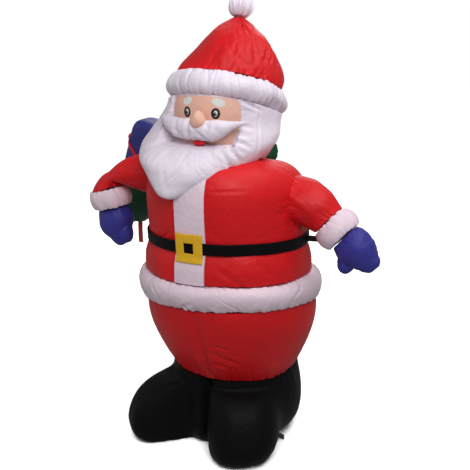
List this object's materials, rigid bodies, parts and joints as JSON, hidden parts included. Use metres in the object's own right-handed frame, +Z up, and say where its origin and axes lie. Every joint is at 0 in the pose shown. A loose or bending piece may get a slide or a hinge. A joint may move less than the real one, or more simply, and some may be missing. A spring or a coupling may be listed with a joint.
{
  "type": "inflatable santa",
  "caption": "Standing blow-up Father Christmas of coated nylon with a white beard, red coat and hat, black boots, spread arms and a sack on the back.",
  "frame": {"origin": "middle of the figure's box, on the ground it stands on", "axes": "+Z up; -Y the way the figure faces; +X to the figure's own left"},
  "size_m": [0.898, 0.5224, 1.2013],
  "materials": {
    "black_nylon": "satin coated nylon",
    "red_nylon": "satin coated nylon",
    "white_nylon": "satin coated nylon",
    "yellow_nylon": "satin coated nylon",
    "blue_nylon": "satin coated nylon",
    "skin_nylon": "satin coated nylon",
    "green_nylon": "satin coated nylon",
    "parcel_nylon": "satin coated nylon",
    "webbing": "matt woven strap"
  },
  "bodies": {
    "root": {"boot_left": "black_nylon", "boot_right": "black_nylon", "trousers": "red_nylon", "hem_trim": "white_nylon", "coat": "red_nylon", "placket": "white_nylon", "belt": "black_nylon", "buckle": "yellow_nylon", "arm_left": "red_nylon", "arm_right": "red_nylon", "cuff_left": "white_nylon", "cuff_right": "white_nylon", "mitten_left": "blue_nylon", "mitten_right": "blue_nylon", "head": "white_nylon", "face": "skin_nylon", "beard": "white_nylon", "moustache": "white_nylon", "nose": "skin_nylon", "lip": "red_nylon", "hat_band": "white_nylon", "hat_crown": "red_nylon", "pompom": "white_nylon", "sack": "green_nylon", "gift": "parcel_nylon", "gift_ribbon": "red_nylon", "hip_loop_left": "webbing", "hip_loop_right": "webbing", "boot_loop_left": "webbing", "boot_loop_right": "webbing", "sack_loop": "red_nylon"}
  },
  "joints": []
}
